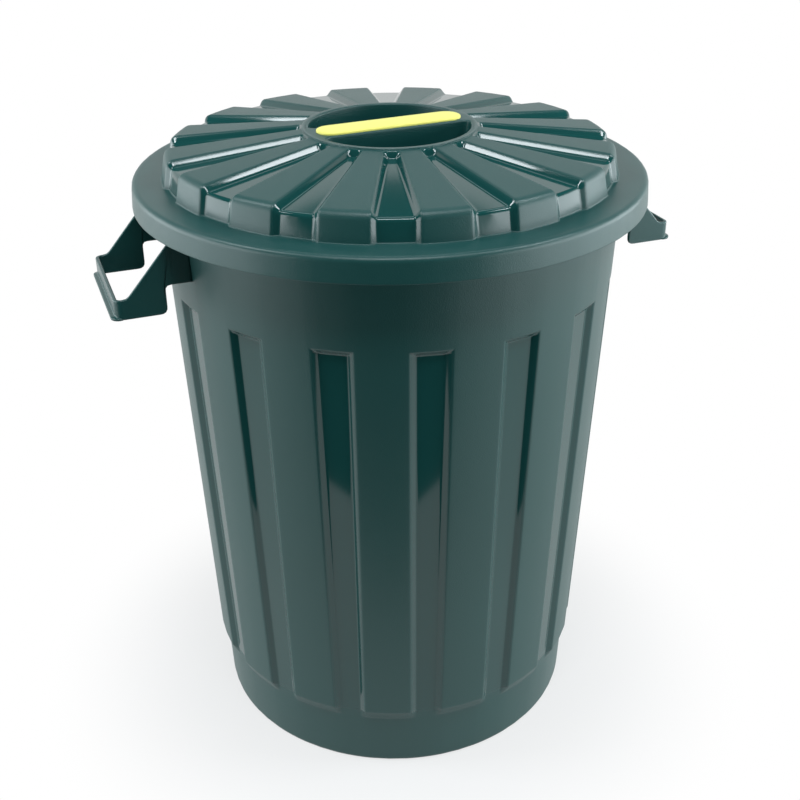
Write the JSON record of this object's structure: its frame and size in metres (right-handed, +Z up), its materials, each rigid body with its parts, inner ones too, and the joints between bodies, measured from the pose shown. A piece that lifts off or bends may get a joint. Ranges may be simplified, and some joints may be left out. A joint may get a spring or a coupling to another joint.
{
  "type": "waste bin",
  "caption": "Round fluted plastic refuse bin with two side handles and a loose ribbed lid with a pinch grip and a coloured strip.",
  "frame": {"origin": "on the ground under the middle of the tub", "axes": "+Z up along the tub's axis, +X through the right handle; the lid's ridge and strip lie 3.5 degrees round from +X"},
  "size_m": [0.5828, 0.5026, 0.6401],
  "materials": {
    "green_polypropylene": "moulded, satin with glossy flutes",
    "yellow_polypropylene": "moulded, satin"
  },
  "bodies": {
    "tub": {"bin_body": "green_polypropylene", "handle_left": "green_polypropylene", "handle_right": "green_polypropylene"},
    "lid_body": {"lid": "green_polypropylene", "grip_strip": "yellow_polypropylene"}
  },
  "joints": [
    {"name": "lid_lift", "type": "slide", "parent": "tub", "child": "lid_body", "axis": [0, 0, 1], "range_m": [0, 0.3]}
  ]
}
